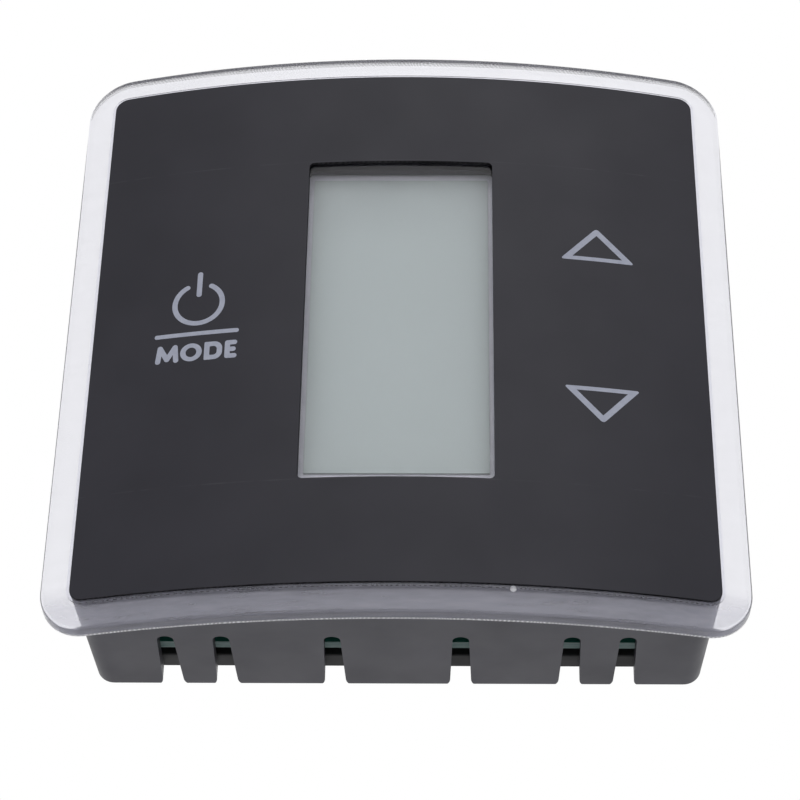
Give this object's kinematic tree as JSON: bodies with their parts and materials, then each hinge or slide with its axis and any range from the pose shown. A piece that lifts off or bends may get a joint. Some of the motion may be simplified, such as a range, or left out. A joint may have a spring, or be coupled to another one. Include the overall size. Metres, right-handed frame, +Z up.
{
  "type": "wall thermostat",
  "caption": "Square wall thermostat with a bowed clear face over a black overlay, a tall display window, touch keys and a vented housing that clips onto a wall plate.",
  "frame": {"origin": "on the wall, at the middle of the wall plate's back, straight behind the middle of the face", "axes": "+Z up; the face looks along -Y and the wall is at y = 0; +X to the right when looking at the face"},
  "size_m": [0.09, 0.0289, 0.09],
  "materials": {
    "clear_acrylic": "clear polished acrylic, faintly lilac at its edges",
    "black_film": "charcoal overlay, fine satin",
    "dark_abs": "dark grey moulded plastic, satin with a fine grain",
    "plate_abs": "black moulded plastic, matt",
    "polarizer_grey": "grey-green polarising film, matt",
    "display_glass": "clear",
    "reflector_white": "pale reflecting film",
    "milky_acrylic": "milky acrylic",
    "holder_white": "white moulded plastic",
    "strip_rubber": "pink-grey silicone rubber",
    "led_white": "white LED body with yellow phosphor",
    "spring_steel": "bright spring wire",
    "screw_steel": "zinc plated",
    "board_green": "green solder resist over glass epoxy",
    "chip_black": "matt black moulding",
    "bright_metal": "satin",
    "bead_black": "dipped black epoxy",
    "socket_ivory": "ivory nylon",
    "contact_gold": "gold flash"
  },
  "bodies": {
    "wall_side": {"wall_plate": "plate_abs"},
    "front_unit": {"air_thermistor": "bead_black", "backlight_led_left": "led_white", "backlight_led_right": "led_white", "cable_socket": "socket_ivory", "capacitor_left": "bright_metal", "capacitor_right": "bright_metal", "clock_crystal": "bright_metal", "contact_strip_bottom": "strip_rubber", "contact_strip_top": "strip_rubber", "display_board": "board_green", "display_board_screw_1": "screw_steel", "display_board_screw_2": "screw_steel", "display_board_screw_3": "screw_steel", "display_board_screw_4": "screw_steel", "display_front_glass": "display_glass", "display_front_polarizer": "polarizer_grey", "display_holder": "holder_white", "display_rear_glass": "display_glass", "display_reflector": "reflector_white", "face_plate": "clear_acrylic", "housing": "dark_abs", "light_guide": "milky_acrylic", "line_chip": "chip_black", "link_header": "chip_black", "link_socket": "chip_black", "main_board": "board_green", "main_board_screw_1": "screw_steel", "main_board_screw_2": "screw_steel", "main_board_screw_3": "screw_steel", "main_board_screw_4": "screw_steel", "microcontroller": "chip_black", "overlay": "black_film", "power_inductor": "chip_black", "power_regulator": "chip_black", "socket_contact_1": "contact_gold", "socket_contact_2": "contact_gold", "socket_contact_3": "contact_gold", "socket_contact_4": "contact_gold", "touch_spring_down": "spring_steel", "touch_spring_mode": "spring_steel", "touch_spring_up": "spring_steel"}
  },
  "joints": [
    {"name": "front_unit_release", "type": "slide", "parent": "wall_side", "child": "front_unit", "axis": [0, -1, 0], "range_m": [0, 0.045]}
  ]
}
